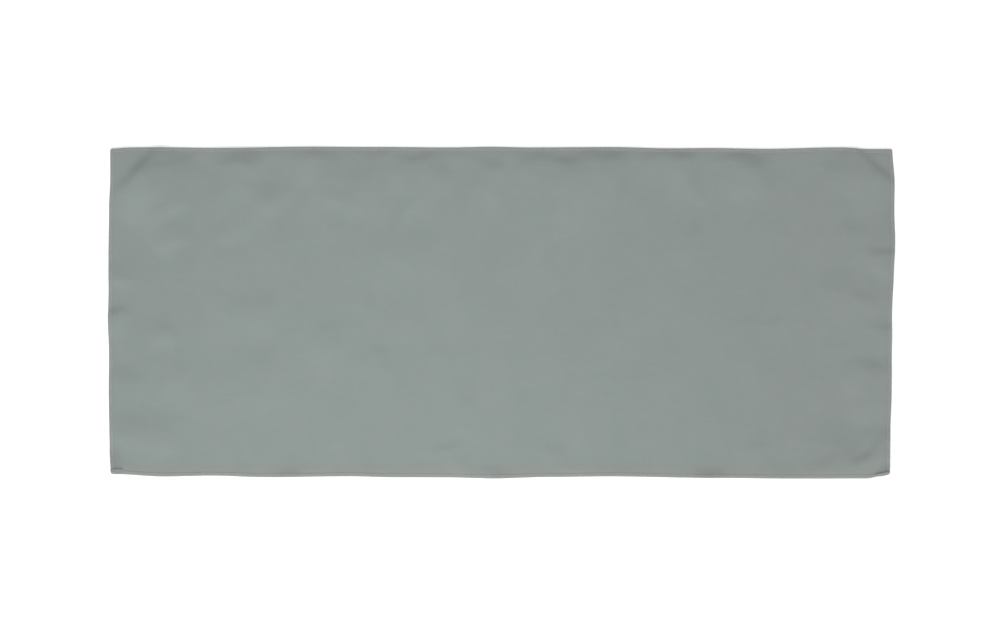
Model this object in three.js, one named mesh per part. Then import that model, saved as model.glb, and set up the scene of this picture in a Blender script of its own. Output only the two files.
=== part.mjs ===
// A sports towel: one rectangle of thin, smooth microfibre cloth with an overlocked edge.
// It lies face up on a flat surface, slightly rumpled, as it is laid out to be looked at.
//
// Millimetres. +X runs along the towel's length, +Y across it and +Z up. The origin is the
// centre of the ground that the towel covers, at the height of the surface it lies on.

import * as THREE from "three";

// Driving dimensions of the cut cloth
const LENGTH = 800;
const WIDTH = 337;
const THICKNESS = 1.2;
const CORNER_RADIUS = 2.4;

// The overlock wraps the cut edge in thread, which makes a narrow rim a little thicker than the cloth
const RIM_WIDTH = 3.5;
const RIM_THICKNESS = 1.6;

// Grid of the sheet, finer towards its edges: 0 is an even grid, and 1 would close up at the edge
const COLUMNS = 74;
const ROWS = 31;
const GRADING = 0.5;

const CLOTH_COLOUR = new THREE.Color().setRGB(0.231, 0.267, 0.256);

// Each edge wanders in and out of the cut rectangle, because the overlock draws it in unevenly.
// A pair is a place along the edge and how far outwards it lies there.
const TOP_EDGE = [
  [-400, -1.1], [-378, 0.0], [-358, 0.3], [-286, -0.4], [-195, 0.8], [-123, 0.5], [-52, 0.0],
  [-11, 0.7], [30, 0.0], [112, 0.4], [173, -0.9], [214, -0.6], [270, -1.4], [347, 0.1],
  [377, -1.6], [400, -1.5],
];
const BOTTOM_EDGE = [
  [-400, -3.3], [-345, -0.6], [-297, -1.5], [-240, 0.1], [-154, -0.8], [-110, 0.2], [-55, 0.3],
  [-8, 1.3], [52, -0.1], [112, -0.7], [215, 0.8], [300, 1.4], [377, 1.2], [390, -1.0],
  [400, -2.8],
];
const LEFT_EDGE = [
  [-168, -2.1], [-142, -0.5], [-80, 0.4], [-50, 0.2], [-4, 1.1], [27, 0.6], [58, 0.8],
  [105, 0.1], [140, -1.2], [168, -1.0],
];
const RIGHT_EDGE = [
  [-168, -2.5], [-142, -2.4], [-80, -0.6], [-45, -0.4], [-6, -0.2], [42, 1.6], [73, 3.1],
  [104, 2.2], [134, 2.4], [168, 0.2],
];

// Slow waves draw the folds out of true, along the towel and across it:
// [length, heading in degrees, start, how far].
const WANDER_ALONG = [
  [61, 20, 0.7, 1.9], [43, 110, 2.1, 1.4], [74, 300, 4.0, 2.2], [33, 65, 5.2, 0.9],
];
const WANDER_ACROSS = [
  [57, 80, 3.3, 1.2], [39, 170, 1.2, 1.1], [71, 15, 5.0, 1.5], [30, 250, 0.4, 0.6],
];

// The cloth touches the surface except where a soft fold lifts it. Each fold is a crest that dies
// out towards both its ends, steeper on one side than on the other:
// [from x, from y, to x, to y, reach to the left of its run, reach to the right, how high].
const CORNER_FOLDS = [
  [-406, 96, -332, 182, 15, 75, 3.9],
  [-390, 132, -326, 152, 14, 50, 0.8],
  [-354, 143, -300, 162, 13, 60, 0.9],
  [348, 174, 412, 113, 14, 50, 2.7],
  [-410, -104, -326, -154, 40, 22, 1.0],
  [-405, -190, -402, -140, 28, 28, 3.6],
  [306, -174, 368, -138, 14, 26, 1.1],
  [322, -130, 362, -144, 16, 16, 0.5],
  [346, -168, 412, -124, 14, 28, 2.0],
  [386, -176, 412, -162, 18, 18, 1.5],
  [240, -172, 450, -170, 85, 20, 1.6],
];
const TOP_PUCKERS = [
  [-440, 157, 440, 157, 12, 100, 0.4],
  [-302, 148, -228, 152, 17, 90, 3.0],
  [-218, 153, -154, 153, 14, 110, 1.5],
  [-152, 153, -108, 154, 13, 100, 0.8],
  [-118, 152, -46, 154, 14, 110, 1.5],
  [-82, 142, -44, 142, 14, 40, 0.6],
  [-36, 145, 10, 146, 21, 60, 1.6],
  [8, 149, 62, 152, 16, 110, 1.5],
  [42, 152, 96, 153, 14, 100, 2.1],
  [74, 152, 132, 152, 14, 100, 2.1],
  [8, 136, 146, 139, 25, 100, 1.1],
  [-214, 136, -54, 138, 24, 70, 0.8],
  [132, 154, 180, 154, 12, 30, 0.8],
  [162, 153, 208, 154, 12, 46, 1.7],
  [212, 154, 284, 153, 12, 50, 1.5],
  [220, 143, 288, 143, 18, 50, 1.2],
  [318, 146, 358, 142, 16, 50, 0.6],
];
const LEFT_RUMPLES = [
  [-264, 88, -210, 138, 20, 24, 1.2],
  [-366, 98, -312, 116, 18, 18, 1.1],
  [-364, 72, -318, 73, 46, 19, 1.5],
  [-302, 76, -248, 86, 28, 17, 0.7],
  [-314, -2, -252, 0, 34, 38, 1.1],
  [-266, 1, -220, 3, 28, 38, 1.2],
  [-284, -70, -200, -66, 56, 60, 1.2],
  [-420, -3, -368, -1, 14, 34, 2.0],
  [-420, 36, -368, 34, 26, 19, 1.2],
  [-424, -68, -350, -74, 26, 44, 1.4],
  [-368, -24, -330, -20, 25, 24, 1.2],
  [-352, -66, -304, -66, 30, 50, 0.8],
  [-364, -124, -314, -122, 44, 30, 1.2],
  [-420, -126, -362, -120, 40, 18, 0.5],
  [-186, 118, -136, 108, 18, 18, 0.6],
  [-202, -27, -154, -25, 25, 60, 0.8],
];
const RIGHT_RIPPLES = [
  [366, 53, 422, 58, 15, 30, 1.6],
  [336, 80, 392, 80, 20, 44, 0.8],
  [314, 20, 370, 22, 30, 40, 0.9],
  [344, 10, 396, 8, 17, 28, 0.8],
  [360, -18, 424, -18, 12, 34, 1.0],
  [332, -64, 424, -62, 19, 28, 1.3],
  [346, -92, 412, -91, 42, 31, 1.3],
  [358, -129, 424, -127, 13, 16, 0.7],
  [226, -12, 330, -14, 16, 26, 0.5],
  [262, 37, 318, 38, 16, 26, 0.4],
  [240, -141, 284, -140, 14, 36, 0.5],
  [176, 76, 214, 75, 18, 46, 0.6],
  [178, 124, 214, 122, 18, 23, 0.6],
];
const MIDDLE_CREASES = [
  [-124, 52, -78, 134, 16, 14, 0.7],
  [-172, 12, -98, 1, 13, 20, 0.3],
  [-176, 62, -44, 58, 38, 42, 0.8],
  [-148, -46, -102, -44, 19, 60, 1.0],
  [-94, -48, -26, -46, 13, 44, 0.45],
  [-60, -102, -8, -101, 36, 60, 1.0],
  [-82, -141, -36, -144, 13, 40, 0.9],
  [-58, -156, -26, -160, 19, 16, 0.9],
  [32, -144, 72, -143, 14, 34, 0.9],
  [46, -157, 110, -156, 18, 15, 0.4],
  [164, -4, 168, 52, 11, 12, 0.4],
  [-240, -170, -194, -169, 18, 13, 1.3],
  [-190, -171, -132, -170, 18, 13, 0.4],
  [-28, -171, 18, -170, 16, 13, 1.4],
  [190, -170, 236, -169, 16, 13, 1.9],
  [250, -169, 312, -168, 18, 13, 0.5],
];
const FOLDS = [
  ...CORNER_FOLDS, ...TOP_PUCKERS, ...LEFT_RUMPLES, ...RIGHT_RIPPLES, ...MIDDLE_CREASES,
];

// How far an edge lies outwards at a place along it, easing from each listed point to the next
function edgeOffset(points, place) {
  const next = points.findIndex(([along]) => along >= place);
  if (next === -1) {
    return points.at(-1)[1];
  }
  if (next === 0) {
    return points[0][1];
  }
  const [fromPlace, fromOffset] = points[next - 1];
  const [toPlace, toOffset] = points[next];
  const eased = THREE.MathUtils.smoothstep(place, fromPlace, toPlace);
  return THREE.MathUtils.lerp(fromOffset, toOffset, eased);
}

// How far slow waves move a point: each adds its amount times the sine of 2 pi times the distance
// along its heading over its length.
function wander(waves, x, y) {
  let moved = 0;
  for (const [length, heading, start, amount] of waves) {
    const turned = THREE.MathUtils.degToRad(heading);
    const along = x * Math.cos(turned) + y * Math.sin(turned);
    moved += amount * Math.sin((2 * Math.PI * along) / length + start);
  }
  return moved;
}

// How high the folds lift the cloth at a point: crest times (1 - u²)² times (1 - v²)³, with u the
// distance from the fold's middle along it as a share of half its length, and v the distance from
// its crest as a share of the reach on that side.
function foldHeight(x, y) {
  const wanderedX = x + wander(WANDER_ALONG, x, y);
  const wanderedY = y + wander(WANDER_ACROSS, x, y);
  let height = 0;
  for (const [fromX, fromY, toX, toY, reachLeft, reachRight, crest] of FOLDS) {
    const runX = toX - fromX;
    const runY = toY - fromY;
    const length = Math.hypot(runX, runY);
    const offX = wanderedX - (fromX + toX) / 2;
    const offY = wanderedY - (fromY + toY) / 2;
    const u = (offX * runX + offY * runY) / length / (length / 2);
    const side = (offY * runX - offX * runY) / length;
    const v = side / (side > 0 ? reachLeft : reachRight);
    height += crest * Math.max(1 - u * u, 0) ** 2 * Math.max(1 - v * v, 0) ** 3;
  }
  return height;
}

// Grid lines along one side of the sheet: the edge, the rim's inner side, then graded steps between
// the two rims. The step is the grid line's number, and the result is its distance from the middle.
function gridLine(step, steps, side) {
  if (step === 0 || step === steps) {
    return step === 0 ? -side / 2 : side / 2;
  }
  const between = (step - 1) / (steps - 2);
  const graded = between - (GRADING * Math.sin(2 * Math.PI * between)) / (2 * Math.PI);
  return (graded - 0.5) * (side - 2 * RIM_WIDTH);
}

// The square corner of the grid pressed into a quarter circle, as a pair of distances inside the
// two edges: each direction shrinks by the root of 1 - half the other's square.
function roundedCorner(insideX, insideY) {
  const s = Math.max(1 - insideX / CORNER_RADIUS, 0);
  const t = Math.max(1 - insideY / CORNER_RADIUS, 0);
  if (s === 0 || t === 0) {
    return [insideX, insideY];
  }
  return [
    CORNER_RADIUS * (1 - s * Math.sqrt(1 - t ** 2 / 2)),
    CORNER_RADIUS * (1 - t * Math.sqrt(1 - s ** 2 / 2)),
  ];
}

// A point of the cut rectangle moved to where it lies: stretched evenly between the two wandering
// edges on either side of it, both ways.
function outlinePoint(flatX, flatY) {
  const [insideX, insideY] = roundedCorner(
    LENGTH / 2 - Math.abs(flatX),
    WIDTH / 2 - Math.abs(flatY),
  );
  const x = Math.sign(flatX) * (LENGTH / 2 - insideX);
  const y = Math.sign(flatY) * (WIDTH / 2 - insideY);
  const rightShare = 0.5 + x / LENGTH;
  const topShare = 0.5 + y / WIDTH;
  return [
    x + rightShare * edgeOffset(RIGHT_EDGE, y) - (1 - rightShare) * edgeOffset(LEFT_EDGE, y),
    y + topShare * edgeOffset(TOP_EDGE, x) - (1 - topShare) * edgeOffset(BOTTOM_EDGE, x),
  ];
}

// The cloth as one closed sheet: a thin box on a grid, with every grid point laid on the folds
function towelGeometry() {
  const geometry = new THREE.BoxGeometry(LENGTH, WIDTH, THICKNESS, COLUMNS, ROWS, 1);
  const position = geometry.attributes.position;
  for (let i = 0; i < position.count; i += 1) {
    const column = Math.round((position.getX(i) / LENGTH + 0.5) * COLUMNS);
    const row = Math.round((position.getY(i) / WIDTH + 0.5) * ROWS);
    const flatX = gridLine(column, COLUMNS, LENGTH);
    const flatY = gridLine(row, ROWS, WIDTH);
    const onRim = column === 0 || column === COLUMNS || row === 0 || row === ROWS;
    const thickness = onRim ? RIM_THICKNESS : THICKNESS;
    const [x, y] = outlinePoint(flatX, flatY);
    const above = position.getZ(i) > 0 ? thickness : 0;
    position.setXYZ(i, x, y, foldHeight(x, y) + above);
  }
  geometry.computeBoundingBox();
  const middle = geometry.boundingBox.getCenter(new THREE.Vector3());
  geometry.translate(-middle.x, -middle.y, -geometry.boundingBox.min.z);
  geometry.computeVertexNormals();
  return geometry;
}

const cloth = new THREE.MeshStandardMaterial({ color: CLOTH_COLOUR, roughness: 0.95, metalness: 0 });

const towel = new THREE.Mesh(towelGeometry(), cloth);
towel.name = "towel";

const part = new THREE.Group();
part.add(towel);

export default part;
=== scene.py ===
from math import pi, radians

import bpy
import numpy as np
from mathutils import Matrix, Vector


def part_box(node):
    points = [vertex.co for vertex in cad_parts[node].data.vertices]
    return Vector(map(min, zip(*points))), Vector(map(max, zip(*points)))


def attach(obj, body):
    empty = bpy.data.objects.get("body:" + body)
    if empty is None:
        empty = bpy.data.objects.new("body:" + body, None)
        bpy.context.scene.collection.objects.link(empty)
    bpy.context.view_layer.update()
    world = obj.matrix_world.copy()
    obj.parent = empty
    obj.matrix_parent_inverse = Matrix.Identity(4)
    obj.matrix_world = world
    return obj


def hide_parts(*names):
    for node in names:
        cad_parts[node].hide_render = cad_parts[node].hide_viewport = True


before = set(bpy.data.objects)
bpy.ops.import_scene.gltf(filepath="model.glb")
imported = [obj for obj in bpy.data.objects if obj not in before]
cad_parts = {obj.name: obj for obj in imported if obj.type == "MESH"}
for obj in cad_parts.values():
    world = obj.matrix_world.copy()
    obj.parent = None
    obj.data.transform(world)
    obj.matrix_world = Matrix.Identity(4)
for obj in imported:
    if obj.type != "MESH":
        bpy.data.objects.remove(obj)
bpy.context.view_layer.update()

MM = 0.001

# The finished towel, in millimetres. The cut cloth is smaller by the thread that wraps its edge.
LENGTH = 800
WIDTH = 337
THREAD_RADIUS = 0.28
THREAD_PROUD = 0.7 * THREAD_RADIUS
CUT_LENGTH = LENGTH - 2 * THREAD_PROUD
CUT_WIDTH = WIDTH - 2 * THREAD_PROUD
CORNER_RADIUS = 2.4
CLOTH_THICKNESS = 0.9
CUT_EDGE_RADIUS = 0.5

# The stitches press the cloth's thickness to a share of its own, and the threads under it prop the
# rim up a little. Both fade out behind the stitches.
RIM_WIDTH = 3.5
PRESSED_SHARE = 0.74
PRESSED_REACH = 6.5
RIM_LIFT = THREAD_PROUD
RIM_LIFT_REACH = 24

# Each edge wanders in and out of the cut rectangle, because the overlock draws it in unevenly.
# A pair is a place along the edge and how far outwards it lies there.
TOP_EDGE = [
    (-400, -1.1), (-378, 0.0), (-358, 0.3), (-286, -0.4), (-195, 0.8), (-123, 0.5), (-52, 0.0),
    (-11, 0.7), (30, 0.0), (112, 0.4), (173, -0.9), (214, -0.6), (270, -1.4), (347, 0.1),
    (377, -1.6), (400, -1.5),
]
BOTTOM_EDGE = [
    (-400, -3.3), (-345, -0.6), (-297, -1.5), (-240, 0.1), (-154, -0.8), (-110, 0.2), (-55, 0.3),
    (-8, 1.3), (52, -0.1), (112, -0.7), (215, 0.8), (300, 1.4), (377, 1.2), (390, -1.0),
    (400, -2.8),
]
LEFT_EDGE = [
    (-168, -2.1), (-142, -0.5), (-80, 0.4), (-50, 0.2), (-4, 1.1), (27, 0.6), (58, 0.8),
    (105, 0.1), (140, -1.2), (168, -1.0),
]
RIGHT_EDGE = [
    (-168, -2.5), (-142, -2.4), (-80, -0.6), (-45, -0.4), (-6, -0.2), (42, 1.6), (73, 3.1),
    (104, 2.2), (134, 2.4), (168, 0.2),
]

# Slow waves draw the folds out of true, along the towel and across it:
# (length, heading in degrees, start, how far)
WANDER_ALONG = [
    (61, 20, 0.7, 1.9), (43, 110, 2.1, 1.4), (74, 300, 4.0, 2.2), (33, 65, 5.2, 0.9),
]
WANDER_ACROSS = [
    (57, 80, 3.3, 1.2), (39, 170, 1.2, 1.1), (71, 15, 5.0, 1.5), (30, 250, 0.4, 0.6),
]

# Each fold is a crest that dies out towards both its ends, steeper on one side than on the other:
# (from x, from y, to x, to y, reach to the left of its run, reach to the right, how high)
CORNER_FOLDS = [
    (-406, 96, -332, 182, 15, 75, 3.9),
    (-390, 132, -326, 152, 14, 50, 0.8),
    (-354, 143, -300, 162, 13, 60, 0.9),
    (348, 174, 412, 113, 14, 50, 2.7),
    (-410, -104, -326, -154, 40, 22, 1.0),
    (-405, -190, -402, -140, 28, 28, 3.6),
    (306, -174, 368, -138, 14, 26, 1.1),
    (322, -130, 362, -144, 16, 16, 0.5),
    (346, -168, 412, -124, 14, 28, 2.0),
    (386, -176, 412, -162, 18, 18, 1.5),
    (240, -172, 450, -170, 85, 20, 1.6),
]
TOP_PUCKERS = [
    (-440, 157, 440, 157, 12, 100, 0.4),
    (-302, 148, -228, 152, 17, 90, 3.0),
    (-218, 153, -154, 153, 14, 110, 1.5),
    (-152, 153, -108, 154, 13, 100, 0.8),
    (-118, 152, -46, 154, 14, 110, 1.5),
    (-82, 142, -44, 142, 14, 40, 0.6),
    (-36, 145, 10, 146, 21, 60, 1.6),
    (8, 149, 62, 152, 16, 110, 1.5),
    (42, 152, 96, 153, 14, 100, 2.1),
    (74, 152, 132, 152, 14, 100, 2.1),
    (8, 136, 146, 139, 25, 100, 1.1),
    (-214, 136, -54, 138, 24, 70, 0.8),
    (132, 154, 180, 154, 12, 30, 0.8),
    (162, 153, 208, 154, 12, 46, 1.7),
    (212, 154, 284, 153, 12, 50, 1.5),
    (220, 143, 288, 143, 18, 50, 1.2),
    (318, 146, 358, 142, 16, 50, 0.6),
]
LEFT_RUMPLES = [
    (-264, 88, -210, 138, 20, 24, 1.2),
    (-366, 98, -312, 116, 18, 18, 1.1),
    (-364, 72, -318, 73, 46, 19, 1.5),
    (-302, 76, -248, 86, 28, 17, 0.7),
    (-314, -2, -252, 0, 34, 38, 1.1),
    (-266, 1, -220, 3, 28, 38, 1.2),
    (-284, -70, -200, -66, 56, 60, 1.2),
    (-420, -3, -368, -1, 14, 34, 2.0),
    (-420, 36, -368, 34, 26, 19, 1.2),
    (-424, -68, -350, -74, 26, 44, 1.4),
    (-368, -24, -330, -20, 25, 24, 1.2),
    (-352, -66, -304, -66, 30, 50, 0.8),
    (-364, -124, -314, -122, 44, 30, 1.2),
    (-420, -126, -362, -120, 40, 18, 0.5),
    (-186, 118, -136, 108, 18, 18, 0.6),
    (-202, -27, -154, -25, 25, 60, 0.8),
]
RIGHT_RIPPLES = [
    (366, 53, 422, 58, 15, 30, 1.6),
    (336, 80, 392, 80, 20, 44, 0.8),
    (314, 20, 370, 22, 30, 40, 0.9),
    (344, 10, 396, 8, 17, 28, 0.8),
    (360, -18, 424, -18, 12, 34, 1.0),
    (332, -64, 424, -62, 19, 28, 1.3),
    (346, -92, 412, -91, 42, 31, 1.3),
    (358, -129, 424, -127, 13, 16, 0.7),
    (226, -12, 330, -14, 16, 26, 0.5),
    (262, 37, 318, 38, 16, 26, 0.4),
    (240, -141, 284, -140, 14, 36, 0.5),
    (176, 76, 214, 75, 18, 46, 0.6),
    (178, 124, 214, 122, 18, 23, 0.6),
]
MIDDLE_CREASES = [
    (-124, 52, -78, 134, 16, 14, 0.7),
    (-172, 12, -98, 1, 13, 20, 0.3),
    (-176, 62, -44, 58, 38, 42, 0.8),
    (-148, -46, -102, -44, 19, 60, 1.0),
    (-94, -48, -26, -46, 13, 44, 0.45),
    (-60, -102, -8, -101, 36, 60, 1.0),
    (-82, -141, -36, -144, 13, 40, 0.9),
    (-58, -156, -26, -160, 19, 16, 0.9),
    (32, -144, 72, -143, 14, 34, 0.9),
    (46, -157, 110, -156, 18, 15, 0.4),
    (164, -4, 168, 52, 11, 12, 0.4),
    (-240, -170, -194, -169, 18, 13, 1.3),
    (-190, -171, -132, -170, 18, 13, 0.4),
    (-28, -171, 18, -170, 16, 13, 1.4),
    (190, -170, 236, -169, 16, 13, 1.9),
    (250, -169, 312, -168, 18, 13, 0.5),
]
FOLDS = CORNER_FOLDS + TOP_PUCKERS + LEFT_RUMPLES + RIGHT_RIPPLES + MIDDLE_CREASES

# Small rumples: how many waves cross each other, how long they are, and how high a wave of full
# length stands. A shorter one is lower in proportion.
RUMPLE_SEED = 7
RUMPLE_WAVES = 40
RUMPLE_LENGTHS = (22, 130)
FULL_RUMPLE_LENGTH = 90
RUMPLE_HEIGHT = 0.16

# The rumples show by this share everywhere, and by more past a line towards the left, the right and
# the upper edge: (how far the line is from the middle, how gradually it is crossed, how much more)
LIVELY_EVERYWHERE = 0.25
LIVELY_LEFT = (170, 35, 0.9)
LIVELY_RIGHT = (300, 25, 0.75)
LIVELY_TOP = (125, 12, 0.45)

# How gently the cloth comes down to the ground at the foot of a fold
GROUND_SOFTNESS = 0.15

# Grid lines by their distance inside the edge, close together over the rounded cut edge and the
# pressed rim, and the even step between the lines further in
RIM_LINES = (0, 0.04, 0.15, 0.32, 0.5, 1.0, 2.2, 3.5, 4.3, 5.1, 6.5)
GRID_STEP = 2.55

# How far the underside lies from the upper side on the cloth's own map, in metres
UNDERSIDE_ON_MAP = 0.5


def edge_offset(points, place):
    """How far an edge lies outwards at each place along it. From one listed point to the next it
    eases as 3t² - 2t³, with t the share of the way between them."""
    along, outwards = np.array(points, float).T
    after = np.clip(np.searchsorted(along, place), 1, len(along) - 1)
    t = np.clip((place - along[after - 1]) / (along[after] - along[after - 1]), 0, 1)
    return outwards[after - 1] + (outwards[after] - outwards[after - 1]) * t * t * (3 - 2 * t)


def outline(flat_x, flat_y):
    """Where points of the cut rectangle lie on the ground: each is stretched evenly between the two
    wandering edges on either side of it, both ways."""
    right = 0.5 + flat_x / LENGTH
    top = 0.5 + flat_y / WIDTH
    return (
        flat_x + right * edge_offset(RIGHT_EDGE, flat_y) - (1 - right) * edge_offset(LEFT_EDGE, flat_y),
        flat_y + top * edge_offset(TOP_EDGE, flat_x) - (1 - top) * edge_offset(BOTTOM_EDGE, flat_x),
    )


def wander(x, y):
    """Points moved by the slow waves. Each wave is its amount times the sine of 2 pi times the
    distance along its heading over its length."""
    moved = []
    for place, waves in ((x, WANDER_ALONG), (y, WANDER_ACROSS)):
        for length, heading, start, amount in waves:
            along = x * np.cos(radians(heading)) + y * np.sin(radians(heading))
            place = place + amount * np.sin(2 * pi * along / length + start)
        moved.append(place)
    return moved


def folds_at(x, y, folds):
    """Height of the folds at each point: crest times (1 - u²)² times (1 - v²)³, with u the distance
    from the fold's middle along it as a share of half its length, and v the distance from its
    crest as a share of the reach on that side."""
    height = np.zeros_like(x)
    for from_x, from_y, to_x, to_y, reach_left, reach_right, crest in folds:
        run_x, run_y = to_x - from_x, to_y - from_y
        length = np.hypot(run_x, run_y)
        off_x, off_y = x - (from_x + to_x) / 2, y - (from_y + to_y) / 2
        u = (off_x * run_x + off_y * run_y) / length / (length / 2)
        v = (off_y * run_x - off_x * run_y) / length
        v /= np.where(v > 0, reach_left, reach_right)
        height += crest * np.maximum(1 - u * u, 0) ** 2 * np.maximum(1 - v * v, 0) ** 3
    return height


def liveliness(x, y):
    """How strongly the small rumples show. A line adds its share over 1 + e to the d/g, with d the
    distance still to go to the line, and g how gradually it is crossed."""
    total = LIVELY_EVERYWHERE
    for outwards, (line, gradual, more) in ((-x, LIVELY_LEFT), (x, LIVELY_RIGHT), (y, LIVELY_TOP)):
        total = total + more / (1 + np.exp((line - outwards) / gradual))
    return total


def rumples_at(x, y):
    """Height of the small rumples: sine waves of many headings and lengths added up, each higher
    the longer it is, and the sum over the root of half their number."""
    draw = np.random.default_rng(RUMPLE_SEED)
    total = np.zeros_like(x)
    for _ in range(RUMPLE_WAVES):
        heading = draw.uniform(0, pi)
        length = draw.uniform(*RUMPLE_LENGTHS)
        start = draw.uniform(0, 2 * pi)
        across = x * np.cos(heading) + y * np.sin(heading)
        total += length / FULL_RUMPLE_LENGTH * np.sin(2 * pi * across / length + start)
    return total * RUMPLE_HEIGHT / np.sqrt(RUMPLE_WAVES / 2)


def ground_height(x, y):
    """Height of the cloth's underside over the ground, without the rim's own lift. What would dip
    below the ground lies on it: h becomes half of h plus the root of h² + softness²."""
    h = folds_at(*wander(x, y), FOLDS) + rumples_at(x, y) * liveliness(x, y)
    return (h + np.sqrt(h * h + GROUND_SOFTNESS**2)) / 2


def hold_of_stitches(inset, reach):
    """How strongly the stitches act at each distance inside the edge: 1 as far as they go, easing
    to 0 at their reach as 1 - 3t² + 2t³."""
    t = np.clip((inset - RIM_WIDTH) / (reach - RIM_WIDTH), 0, 1)
    return 1 - t * t * (3 - 2 * t)


# The CAD sheet was centred by its own box. This cloth is moved so that the box of its outline, from
# places half a millimetre apart along the edges, has the same middle.
box_low, box_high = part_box("towel")
edge_places = np.linspace(-LENGTH / 2, LENGTH / 2, 2 * LENGTH + 1)
side_places = np.linspace(-WIDTH / 2, WIDTH / 2, 2 * WIDTH + 1)
all_x = np.concatenate([
    outline(np.full_like(side_places, sign * LENGTH / 2), side_places)[0] for sign in (-1, 1)
])
all_y = np.concatenate([
    outline(edge_places, np.full_like(edge_places, sign * WIDTH / 2))[1] for sign in (-1, 1)
])
SHIFT_X = (box_low.x + box_high.x) / 2 / MM - (all_x.min() + all_x.max()) / 2
SHIFT_Y = (box_low.y + box_high.y) / 2 / MM - (all_y.min() + all_y.max()) / 2


def laid(flat_x, flat_y, inset, above):
    """Points of the towel in metres where they lie, from their place on the flat cut, their distance
    inside its edge, and how far they are above the middle of the cloth's thickness."""
    x, y = outline(flat_x, flat_y)
    lift = RIM_LIFT * hold_of_stitches(inset, RIM_LIFT_REACH)
    z = ground_height(x, y) + lift + CLOTH_THICKNESS / 2 + above
    return np.stack([x + SHIFT_X, y + SHIFT_Y, z], -1) * MM


def grid_lines(side):
    """Grid lines from edge to edge: the rim's own lines at both ends, and even steps between."""
    rim = np.array(RIM_LINES)
    inner = side / 2 - rim[-1]
    between = np.linspace(-inner, inner, int(round(2 * inner / GRID_STEP)) + 1)
    return np.concatenate([rim - side / 2, between[1:-1], side / 2 - rim[::-1]])


def rounded_corner(flat_x, flat_y):
    """The grid's square corners pressed into quarter circles: within a corner each direction
    shrinks by the root of 1 - half the other's square."""
    s = np.maximum(1 - (CUT_LENGTH / 2 - np.abs(flat_x)) / CORNER_RADIUS, 0)
    t = np.maximum(1 - (CUT_WIDTH / 2 - np.abs(flat_y)) / CORNER_RADIUS, 0)
    pressed_x = CORNER_RADIUS * s * (1 - np.sqrt(1 - t**2 / 2))
    pressed_y = CORNER_RADIUS * t * (1 - np.sqrt(1 - s**2 / 2))
    return flat_x - np.sign(flat_x) * pressed_x, flat_y - np.sign(flat_y) * pressed_y


def new_piece(name, points, faces, corner_uv, material):
    """A smooth mesh object at the origin, from rows of points, of quads and of each quad's four
    corners on the piece's own map."""
    mesh = bpy.data.meshes.new(name)
    mesh.vertices.add(len(points))
    mesh.vertices.foreach_set("co", points.astype(np.float32).ravel())
    mesh.loops.add(faces.size)
    mesh.loops.foreach_set("vertex_index", faces.astype(np.int32).ravel())
    mesh.polygons.add(len(faces))
    mesh.polygons.foreach_set("loop_start", np.arange(0, faces.size, 4, dtype=np.int32))
    mesh.polygons.foreach_set("loop_total", np.full(len(faces), 4, np.int32))
    mesh.polygons.foreach_set("use_smooth", np.ones(len(faces), bool))
    layer = mesh.uv_layers.new(name="Cut")
    layer.uv.foreach_set("vector", corner_uv.astype(np.float32).ravel())
    mesh.update(calc_edges=True)
    mesh.materials.append(material)
    piece = bpy.data.objects.new(name, mesh)
    bpy.context.scene.collection.objects.link(piece)
    return piece


def cloth_sheet(name, material):
    """The closed sheet: a grid over the cut for its upper side and one for its underside, which
    share the points of the cut edge. The edge is a half ellipse, because the half thickness there
    is T/2 times the root of 1 - (1 - a/r)², with a the distance inside the edge."""
    flat_x, flat_y = np.meshgrid(grid_lines(CUT_LENGTH), grid_lines(CUT_WIDTH))
    inset = np.minimum(CUT_LENGTH / 2 - np.abs(flat_x), CUT_WIDTH / 2 - np.abs(flat_y))
    round_share = 1 - np.minimum(inset / CUT_EDGE_RADIUS, 1)
    pressed = 1 - (1 - PRESSED_SHARE) * hold_of_stitches(inset, PRESSED_REACH)
    half = CLOTH_THICKNESS / 2 * pressed * np.sqrt(1 - round_share**2)
    x, y = rounded_corner(flat_x, flat_y)
    upper = laid(x, y, inset, half)
    under = laid(x, y, inset, -half)

    rows, columns = flat_x.shape
    upper_index = np.arange(rows * columns).reshape(rows, columns)
    under_index = upper_index.copy()
    inner = np.s_[1:-1, 1:-1]
    inner_count = (rows - 2) * (columns - 2)
    under_index[inner] = (rows * columns + np.arange(inner_count)).reshape(rows - 2, columns - 2)
    points = np.concatenate([upper.reshape(-1, 3), under[inner].reshape(-1, 3)])

    def quads(index):
        corners = [index[:-1, :-1], index[:-1, 1:], index[1:, 1:], index[1:, :-1]]
        return np.stack(corners, -1).reshape(-1, 4)

    upper_quads = quads(upper_index)
    faces = np.concatenate([upper_quads, quads(under_index)[:, ::-1]])
    on_cut = np.stack([flat_x + CUT_LENGTH / 2, flat_y + CUT_WIDTH / 2], -1).reshape(-1, 2) * MM
    upper_uv = on_cut[upper_quads]
    under_uv = on_cut[upper_quads[:, ::-1]] + [0, UNDERSIDE_ON_MAP]
    return new_piece(name, points, faces, np.concatenate([upper_uv, under_uv]), material)


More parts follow.
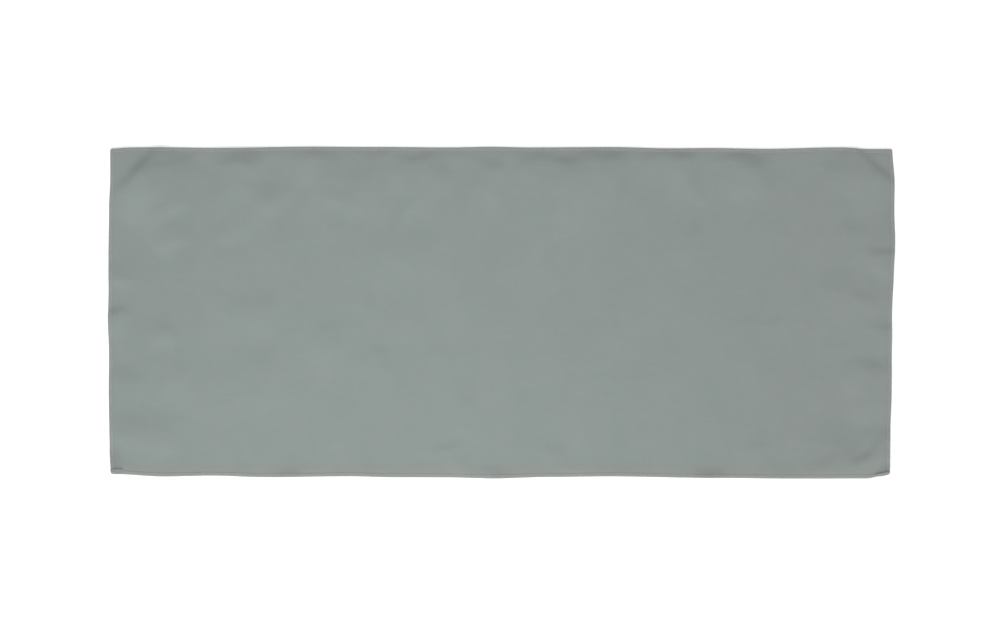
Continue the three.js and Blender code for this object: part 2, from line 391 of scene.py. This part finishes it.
class Shade:
    """An output of a shader node, which adds, subtracts and multiplies as a number does."""

    def __init__(self, tree, output=None):
        self.tree = tree
        self.output = output

    def node(self, kind, settings=None, sockets=None, output=None):
        """A new node with these settings, and with these values or links on its sockets, which go
        by name or by number. It gives the output of that name, or else its first."""
        made = self.tree.nodes.new(kind)
        for name, value in (settings or {}).items():
            setattr(made, name, value)
        for name, value in (sockets or {}).items():
            named = [socket for socket in made.inputs if socket.enabled and socket.name == name]
            socket = named[0] if named else made.inputs[name]
            if isinstance(value, Shade):
                self.tree.links.new(value.output, socket)
            else:
                socket.default_value = value
        outputs = [found for found in made.outputs if found.enabled and output in (None, found.name)]
        return Shade(self.tree, outputs[0] if outputs else None)

    def maths(self, operation, first, second):
        return self.node("ShaderNodeMath", {"operation": operation}, {0: first, 1: second})

    def __add__(self, other):
        return self.maths("ADD", self, other)

    __radd__ = __add__

    def __sub__(self, other):
        return self.maths("SUBTRACT", self, other)

    def __rsub__(self, other):
        return self.maths("SUBTRACT", other, self)

    def __mul__(self, other):
        return self.maths("MULTIPLY", self, other)

    __rmul__ = __mul__


def new_material(name):
    """A new material, and the start of its tree of nodes."""
    material = bpy.data.materials.new(name)
    material.use_nodes = True
    material.node_tree.nodes.clear()
    return material, Shade(material.node_tree)


# Where the cloth is tinted a shade warmer: bands along the lower and the upper edge, and the right
# end, each from where it starts to where it is full. The last two are weaker than the first.
LOWER_BAND = (-151, -162)
UPPER_BAND = (152.5, 162.5)
RIGHT_END = (220, 300)
WEAKER_SHARE = 0.42
WARMER_TINT = (1.052, 0.978, 0.962, 1)

# The warmth is patchy: its strength is a noise times this contrast, over this least amount
WARMTH_LEAST = 0.1
WARMTH_CONTRAST = 1.6

# The dye where the nap lies dark and where it lies light, which the knit's painted shade also moves
# between
NAP_AND_KNIT_SHADE_DARK = (0.217, 0.253, 0.242, 1)
NAP_AND_KNIT_SHADE_LIGHT = (0.245, 0.281, 0.269, 1)

# How fine the cloth's patterns are, in patches to a metre, and the knit's rows in millimetres
NAP_PATCHES = 22
NAP_STREAKS = 70
STREAK_STRETCH = (1, 1.6, 1)
WARMTH_PATCHES = 30
FUZZ_SPECKS = 1700
LOOP_SPACING_X = 0.62
LOOP_SPACING_Y = 0.50

# How much each pattern shades the dye about its own mean, and how far it stands up as relief. The
# loops and the fuzz lighten the dye where they stand up and darken it in the hollows between them,
# as painted shade.
PATCH_SHARE = 0.6
LOOP_MEAN = 0.3
LOOP_PAINTED_SHADE = 0.25
LOOP_RELIEF = 0.55
FUZZ_MEAN = 0.5
FUZZ_PAINTED_SHADE = 0.5
FUZZ_RELIEF = 0.9


def microfibre():
    """Brushed microfibre: sage grey, matt, with a soft sheen at a slant. Its nap lies in patches that
    are a little lighter or darker. The cloth is tinted a shade warmer along the long edges and at the
    right end. Close up its knit shows as fine, uneven rows of loops under a short fuzz, painted
    lighter where they stand up and darker in the hollows between them, as painted shade."""
    material, start = new_material("microfibre_cloth")
    cut = start.node("ShaderNodeUVMap", {"uv_map": "Cut"}, output="UV")
    place = start.node("ShaderNodeTexCoord", output="Object")

    def noise(scale, detail, stretch=(1, 1, 1)):
        stretched = start.node("ShaderNodeMapping", {}, {"Vector": cut, "Scale": stretch})
        return start.node(
            "ShaderNodeTexNoise",
            {"noise_dimensions": "2D"},
            {"Vector": stretched, "Scale": scale, "Detail": detail},
            "Fac",
        )

    def ribs(direction, spacing, distortion):
        """Rows of loops at a spacing: bands repeat after pi / 10 over the texture's scale."""
        scale = pi / 10 / (spacing * MM)
        return start.node(
            "ShaderNodeTexWave",
            {"wave_type": "BANDS", "bands_direction": direction},
            {"Vector": cut, "Scale": scale, "Distortion": distortion, "Detail": 1},
            "Fac",
        )

    def warmer_between(axis, starts_at, full_at):
        """0 to 1 between two places along an axis, for where the cloth is tinted warmer."""
        along = start.node("ShaderNodeSeparateXYZ", {}, {"Vector": place}, axis)
        return start.node(
            "ShaderNodeMapRange",
            {"interpolation_type": "SMOOTHSTEP"},
            {"Value": along, "From Min": starts_at * MM, "From Max": full_at * MM},
        )

    streaks = noise(NAP_STREAKS, 2, STREAK_STRETCH)
    nap = noise(NAP_PATCHES, 3) * PATCH_SHARE + streaks * (1 - PATCH_SHARE)
    loops = ribs("X", LOOP_SPACING_X, 1.2) * ribs("Y", LOOP_SPACING_Y, 1.6)
    fuzz = noise(FUZZ_SPECKS, 4)
    # The loops and the fuzz lighten the dye on their tops and darken it in the hollows between them:
    # painted shade
    shade = nap + (loops - LOOP_MEAN) * LOOP_PAINTED_SHADE + (fuzz - FUZZ_MEAN) * FUZZ_PAINTED_SHADE
    dyed = start.node(
        "ShaderNodeMix",
        {"data_type": "RGBA"},
        {"Factor": shade, "A": NAP_AND_KNIT_SHADE_DARK, "B": NAP_AND_KNIT_SHADE_LIGHT},
        "Result",
    )
    # The cloth is tinted a shade warmer in patches along its lower and upper edges and at its right end
    weaker = start.maths("MAXIMUM", warmer_between("Y", *UPPER_BAND), warmer_between("X", *RIGHT_END))
    strongest = start.maths("MAXIMUM", warmer_between("Y", *LOWER_BAND), weaker * WEAKER_SHARE)
    warmth = strongest * (noise(WARMTH_PATCHES, 2) * WARMTH_CONTRAST + WARMTH_LEAST)
    colour = start.node(
        "ShaderNodeMix",
        {"data_type": "RGBA", "blend_type": "MULTIPLY"},
        {"Factor": warmth, "A": dyed, "B": WARMER_TINT},
        "Result",
    )
    height = loops * LOOP_RELIEF + fuzz * FUZZ_RELIEF
    normal = start.node(
        "ShaderNodeBump", {}, {"Strength": 0.35, "Distance": 0.0002, "Height": height}, "Normal"
    )
    surface = start.node(
        "ShaderNodeBsdfPrincipled",
        {},
        {
            "Base Color": colour,
            "Roughness": 0.9 - nap * 0.08,
            "Specular IOR Level": 0.25,
            "Sheen Weight": 0.12,
            "Sheen Roughness": 0.45,
            "Sheen Tint": (0.8, 0.86, 0.84, 1),
            "Normal": normal,
        },
        "BSDF",
    )
    start.node("ShaderNodeOutputMaterial", {}, {"Surface": surface})
    return material


towel_cloth = cloth_sheet("towel_cloth", microfibre())
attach(towel_cloth, "root")
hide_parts("towel")

# ------------------------------------------------------------------------------------------------
# Overlock
# Three textured polyester threads sewn round the cut edge in one pass: a needle thread that runs
# along the inner line, and an upper and a lower looper thread that go to and fro over the edge.
# ------------------------------------------------------------------------------------------------
STITCH_LENGTH = 1.6
STITCH_SEED = 11
TUBE_SIDES = 6

# The needle line lies this far inside the cut edge, and wanders in slow waves across itself:
# (stitches to a wave, how far). The thread dips into the nap by its depth at each hole.
NEEDLE_INSET = 3.2
NEEDLE_DEPTH = 0.15
NEEDLE_RADIUS = 0.8 * THREAD_RADIUS
NEEDLE_WANDER = [(7, 0.07), (3.3, 0.05)]

# A looper leans along the edge by a share of a stitch, and turns back unevenly at the needle line
LOOPER_LEAN = (0.08, 0.2)
LOOPER_UNEVENNESS = (-0.15, 0.15)

# The thread's dye where it is dark and where it is light, and how much of that is painted shade
# along its plies: lighter on their crests, darker in the grooves between them
THREAD_DARK = (0.302, 0.320, 0.308, 1)
THREAD_LIGHT = (0.360, 0.378, 0.366, 1)
PLY_PAINTED_SHADE = 0.3
THREAD_PATCHES = 120

# Stretch of the thread's map along it, which sets how slanted and how close the plies are
PLY_STRETCH = 1400

# The path round the cut: its sides without their corners, the corners' arcs, and where each starts
side_x = CUT_LENGTH - 2 * CORNER_RADIUS
side_y = CUT_WIDTH - 2 * CORNER_RADIUS
quarter = pi * CORNER_RADIUS / 2
run_lengths = np.array([side_x, quarter, side_y, quarter] * 2)
run_starts = np.concatenate([[0], np.cumsum(run_lengths)])
ROUND_THE_EDGE = run_starts[-1]


def edge_path(distance):
    """Points on the rounded rectangle of the cut at each distance round it, anticlockwise from the
    start of its lower side, and the direction inwards. A side is a straight run. A corner is an
    arc, on which the heading turns by the distance over the radius."""
    distance = distance % ROUND_THE_EDGE
    run = np.clip(np.searchsorted(run_starts, distance, "right") - 1, 0, 7)
    done = distance - run_starts[run]
    side = run // 2
    heading = side * pi / 2
    on_corner = run % 2 == 1
    straight = np.where(side % 2, side_y, side_x)
    turned = np.where(on_corner, done / CORNER_RADIUS, 0)
    ahead = np.where(on_corner, straight + CORNER_RADIUS * np.sin(turned), done)
    left = np.where(on_corner, CORNER_RADIUS * (1 - np.cos(turned)), 0)
    start_x = np.array([-side_x / 2, CUT_LENGTH / 2, side_x / 2, -CUT_LENGTH / 2])[side]
    start_y = np.array([-CUT_WIDTH / 2, -side_y / 2, CUT_WIDTH / 2, side_y / 2])[side]
    x = start_x + ahead * np.cos(heading) - left * np.sin(heading)
    y = start_y + ahead * np.sin(heading) + left * np.cos(heading)
    inwards = heading + turned + pi / 2
    return x, y, np.cos(inwards), np.sin(inwards)


def tube(path, radius, closed=True):
    """A round thread along a path of points in metres, as points, quads facing outwards and their
    corners on its map. Round each point lie TUBE_SIDES points, on two directions square to it. The
    map has the distance along the thread and the share round it. An open thread ends in caps."""
    ahead = np.roll(path, -1, 0) - np.roll(path, 1, 0) if closed else np.gradient(path, axis=0)
    ahead /= np.linalg.norm(ahead, axis=1, keepdims=True)
    across = np.cross(ahead, [0, 0, 1.0])
    across /= np.linalg.norm(across, axis=1, keepdims=True)
    over = np.cross(across, ahead)
    turn = 2 * pi * np.arange(TUBE_SIDES) / TUBE_SIDES
    spoke = across[:, None] * np.cos(turn)[:, None] + over[:, None] * np.sin(turn)[:, None]
    points = path[:, None] + spoke * (np.ones(len(path)) * radius * MM)[:, None, None]

    rings = len(path) if closed else len(path) - 1
    ring = np.arange(rings)[:, None]
    after = (ring + 1) % len(path)
    corner = np.arange(TUBE_SIDES)[None, :]
    corner_after = (corner + 1) % TUBE_SIDES
    faces = np.stack([
        ring * TUBE_SIDES + corner,
        after * TUBE_SIDES + corner,
        after * TUBE_SIDES + corner_after,
        ring * TUBE_SIDES + corner_after,
    ], -1).reshape(-1, 4)
    step = np.linalg.norm(np.roll(path, -1, 0) - path, axis=1)
    run = np.concatenate([[0], np.cumsum(step)])
    u_from = np.broadcast_to(run[ring], (rings, TUBE_SIDES))
    u_to = np.broadcast_to(run[ring + 1], (rings, TUBE_SIDES))
    v_from = np.broadcast_to(corner / TUBE_SIDES, (rings, TUBE_SIDES))
    v_to = v_from + 1 / TUBE_SIDES
    corner_uv = np.stack([
        np.stack([u_from, v_from], -1),
        np.stack([u_to, v_from], -1),
        np.stack([u_to, v_to], -1),
        np.stack([u_from, v_to], -1),
    ], 2).reshape(-1, 2)
    if not closed:
        # The six points of an end make two quads
        first_cap = np.array([[0, 1, 2, 3], [0, 3, 4, 5]])
        last_cap = first_cap[:, ::-1] + rings * TUBE_SIDES
        faces = np.concatenate([faces, first_cap, last_cap])
        corner_uv = np.concatenate([corner_uv, np.tile([[0, 0], [0, 1], [1, 1], [1, 0]], (4, 1))])
    return points.reshape(-1, 3), faces, corner_uv


def thread_material():
    """Textured polyester thread, dyed to match: a shade lighter than the cloth, faintly glossy, with
    the twist of its plies round it, and patches of light and dark some stitches long. The plies are
    painted lighter on their crests and darker in the grooves between them, as painted shade."""
    material, start = new_material("overlock_thread")
    along = start.node("ShaderNodeUVMap", {"uv_map": "Cut"}, output="UV")
    stretched = start.node("ShaderNodeMapping", {}, {"Vector": along, "Scale": (PLY_STRETCH, 1, 1)})
    plies = start.node(
        "ShaderNodeTexWave",
        {"wave_type": "BANDS", "bands_direction": "DIAGONAL"},
        {"Vector": stretched, "Scale": 0.8, "Distortion": 1.0},
        "Fac",
    )
    place = start.node("ShaderNodeTexCoord", output="Object")
    shade = start.node(
        "ShaderNodeTexNoise", {}, {"Vector": place, "Scale": THREAD_PATCHES, "Detail": 2}, "Fac"
    )
    # The plies lighten the dye on their crests and darken it in the grooves between them: painted shade
    lightness = shade * (1 - PLY_PAINTED_SHADE) + plies * PLY_PAINTED_SHADE
    colour = start.node(
        "ShaderNodeMix",
        {"data_type": "RGBA"},
        {"Factor": lightness, "A": THREAD_DARK, "B": THREAD_LIGHT},
        "Result",
    )
    normal = start.node(
        "ShaderNodeBump", {}, {"Strength": 0.4, "Distance": 0.0001, "Height": plies}, "Normal"
    )
    surface = start.node(
        "ShaderNodeBsdfPrincipled",
        {},
        {
            "Base Color": colour,
            "Roughness": 0.75 + shade * 0.15,
            "Specular IOR Level": 0.35,
            "Sheen Weight": 0.15,
            "Sheen Roughness": 0.4,
            "Normal": normal,
        },
        "BSDF",
    )
    start.node("ShaderNodeOutputMaterial", {}, {"Surface": surface})
    return material


thread = thread_material()
stitches = int(round(ROUND_THE_EDGE / STITCH_LENGTH))
draw_stitches = np.random.default_rng(STITCH_SEED)


def looper_thread(name, face, points_per_stitch):
    """A looper thread on the upper (face 1) or the under (face -1) side. Each stitch runs from the
    needle line over the cloth and a quarter circle round the cut edge, and back: a share of that
    way that goes as (1 - cos) / 2. It leans along the edge by a sine of the same turn. At the needle
    line it is pulled half a thread deeper into the nap, which fades as (1 - d)², with d the share
    done of the straight part of the way."""
    turn = np.arange(stitches * points_per_stitch) / points_per_stitch
    stitch = turn.astype(int)
    lean = draw_stitches.uniform(*LOOPER_LEAN, stitches)[stitch]
    start = NEEDLE_INSET + draw_stitches.uniform(*LOOPER_UNEVENNESS, stitches)[stitch]
    phase = 2 * pi * turn
    round_edge = CLOTH_THICKNESS / 2 + THREAD_PROUD - THREAD_RADIUS
    straight = start - CLOTH_THICKNESS / 2
    done = (straight + pi / 2 * round_edge) * (1 - np.cos(phase)) / 2
    angle = np.clip((done - straight) / round_edge, 0, pi / 2)
    inset = start - np.minimum(done, straight) - round_edge * np.sin(angle)
    pulled = THREAD_RADIUS * np.maximum(1 - done / straight, 0) ** 2
    above = face * (round_edge * np.cos(angle) - pulled)
    distance = (turn + lean * np.sin(phase) * face) * ROUND_THE_EDGE / stitches
    x, y, in_x, in_y = edge_path(distance)
    path = laid(x + in_x * inset, y + in_y * inset, np.maximum(inset, 0), above)
    return new_piece(name, *tube(path, THREAD_RADIUS), thread)


def needle_thread(name, points_per_stitch):
    """The needle thread on the upper side: it runs along the inner line, arched over each stitch as
    the root of a sine, and dips into the cloth at the needle's holes."""
    turn = np.arange(stitches * points_per_stitch) / points_per_stitch
    x, y, in_x, in_y = edge_path(turn * ROUND_THE_EDGE / stitches)
    arch = np.sqrt(np.abs(np.sin(pi * turn)))
    above = CLOTH_THICKNESS / 2 * PRESSED_SHARE - NEEDLE_DEPTH + arch * THREAD_RADIUS
    inset = np.full_like(turn, NEEDLE_INSET)
    for wave_length, amount in NEEDLE_WANDER:
        inset += amount * np.sin(2 * pi * turn / wave_length)
    path = laid(x + in_x * inset, y + in_y * inset, inset, above)
    return new_piece(name, *tube(path, NEEDLE_RADIUS), thread)


# The routes of the cut ends of the chain of threads, which lie on the rim: (start, bend, end)
TAIL_ROUTES = [
    ((-400.5, -164.8), (-395.0, -163.2), (-387.5, -163.9)),
    ((384.0, -166.4), (391.0, -165.4), (399.3, -165.9)),
]
TAIL_TURNS = 2.3
STRANDS = 3

# Each strand is this share of its radius thick at its tips, and gains this many radii over a length
# of the tail. The middle of the twist lies this many radii over the threads of the rim.
TIP_SHARE = 0.3
TIP_TAPER = 6
TWIST_HEIGHT = 1.6


def thread_tails(name, rings):
    """The cut ends of the chain: three strands twisted round a route, which is a parabola from its
    start to its end, drawn towards its bend: (1 - t)² start + 2t(1 - t) bend + t² end. Each strand
    tapers at its tips."""
    t = np.linspace(0, 1, rings)
    radius = THREAD_RADIUS * np.minimum(1, TIP_SHARE + TIP_TAPER * np.minimum(t, 1 - t))
    strands = []
    for route in TAIL_ROUTES:
        start, bend, end = (np.array(place)[:, None] for place in route)
        x, y = (1 - t) ** 2 * start + 2 * t * (1 - t) * bend + t**2 * end
        for strand in range(STRANDS):
            twist = 2 * pi * (TAIL_TURNS * t + strand / STRANDS)
            lifted = THREAD_RADIUS * (TWIST_HEIGHT + np.sin(twist))
            above = CLOTH_THICKNESS / 2 + THREAD_PROUD + lifted
            side = y + THREAD_RADIUS * np.cos(twist)
            strands.append(tube(laid(x, side, 0, above), radius, closed=False))
    starts = np.cumsum([0] + [len(points) for points, _, _ in strands])
    points = np.concatenate([points for points, _, _ in strands])
    faces = np.concatenate([faces + start for (_, faces, _), start in zip(strands, starts)])
    return new_piece(name, points, faces, np.concatenate([uv for _, _, uv in strands]), thread)


overlock = [
    looper_thread("overlock_upper_looper", 1, 10),
    looper_thread("overlock_lower_looper", -1, 10),
    needle_thread("overlock_needle_thread", 6),
    thread_tails("overlock_thread_tails", 31),
]
for piece in overlock:
    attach(piece, "root")

# ------------------------------------------------------------------------------------------------
# Floor, light and camera
# A plain white studio floor that glows a little, a large soft lamp low beyond the towel's lower edge,
# a small one close over that edge, a sky that is white at the skyline, and a camera straight above.
# ------------------------------------------------------------------------------------------------
FLOOR_SIDE = 4
FLOOR_GLOW = 0.15

# The view is this wide on the ground, in metres, about this place
VIEW_WIDTH = 1.0217
VIEW_MIDDLE = (-0.0017, 0.0002)
LENS = 85
SENSOR = 36

# The sky is white where a view of it is less steep than the first share, and dimmer past the second
SKY_BRIGHTNESS = 0.69
SKYLINE_BRIGHTNESS = 1.05
SKYLINE = (0.09, 0.2)

floor_mesh = bpy.data.meshes.new("floor")
half_floor = FLOOR_SIDE / 2
floor_mesh.from_pydata(
    [(-half_floor, -half_floor, 0), (half_floor, -half_floor, 0),
     (half_floor, half_floor, 0), (-half_floor, half_floor, 0)],
    [],
    [(0, 1, 2, 3)],
)
floor = bpy.data.objects.new("floor", floor_mesh)
bpy.context.scene.collection.objects.link(floor)
paper, paper_start = new_material("white_paper")
paper_surface = paper_start.node(
    "ShaderNodeBsdfPrincipled",
    {},
    {
        "Base Color": (0.97, 0.97, 0.97, 1),
        "Roughness": 0.9,
        "Specular IOR Level": 0.1,
        "Emission Color": (1, 1, 1, 1),
        "Emission Strength": FLOOR_GLOW,
    },
    "BSDF",
)
paper_start.node("ShaderNodeOutputMaterial", {}, {"Surface": paper_surface})
floor_mesh.materials.append(paper)


def soft_lamp(name, place, aim, size, watts):
    """A square area lamp at a place, turned to look at its aim, both in metres."""
    lamp = bpy.data.lights.new(name, "AREA")
    lamp.shape = "SQUARE"
    lamp.size = size
    lamp.energy = watts
    holder = bpy.data.objects.new(name, lamp)
    holder.location = place
    direction = Vector(aim) - Vector(place)
    holder.rotation_euler = direction.to_track_quat("-Z", "Y").to_euler()
    bpy.context.scene.collection.objects.link(holder)


soft_lamp("key_lamp", place=(-0.9, -7.4, 3.53), aim=(0, 0, 0), size=4.2, watts=564)
soft_lamp("near_lamp", place=(-0.13, -0.21, 0.6), aim=(-0.13, -0.21, 0), size=0.35, watts=0.7)

sky = bpy.data.worlds.new("sky")
bpy.context.scene.world = sky
sky.use_nodes = True
sky.node_tree.nodes.clear()
sky_start = Shade(sky.node_tree)
heading = sky_start.node("ShaderNodeTexCoord", output="Generated")
steepness = sky_start.node("ShaderNodeSeparateXYZ", {}, {"Vector": heading}, "Z")
brightness = sky_start.node(
    "ShaderNodeMapRange",
    {"interpolation_type": "SMOOTHSTEP"},
    {
        "Value": steepness,
        "From Min": SKYLINE[0],
        "From Max": SKYLINE[1],
        "To Min": SKYLINE_BRIGHTNESS,
        "To Max": SKY_BRIGHTNESS,
    },
)
sky_light = sky_start.node(
    "ShaderNodeBackground", {}, {"Color": (1, 1, 1, 1), "Strength": brightness}, "Background"
)
sky_start.node("ShaderNodeOutputWorld", {}, {"Surface": sky_light})

lens = bpy.data.cameras.new("camera")
lens.lens = LENS
lens.sensor_width = SENSOR
lens.clip_end = 100
camera = bpy.data.objects.new("camera", lens)
camera.location = (*VIEW_MIDDLE, VIEW_WIDTH * LENS / SENSOR)
bpy.context.scene.collection.objects.link(camera)
bpy.context.scene.camera = camera
bpy.context.scene.view_settings.view_transform = "Standard"
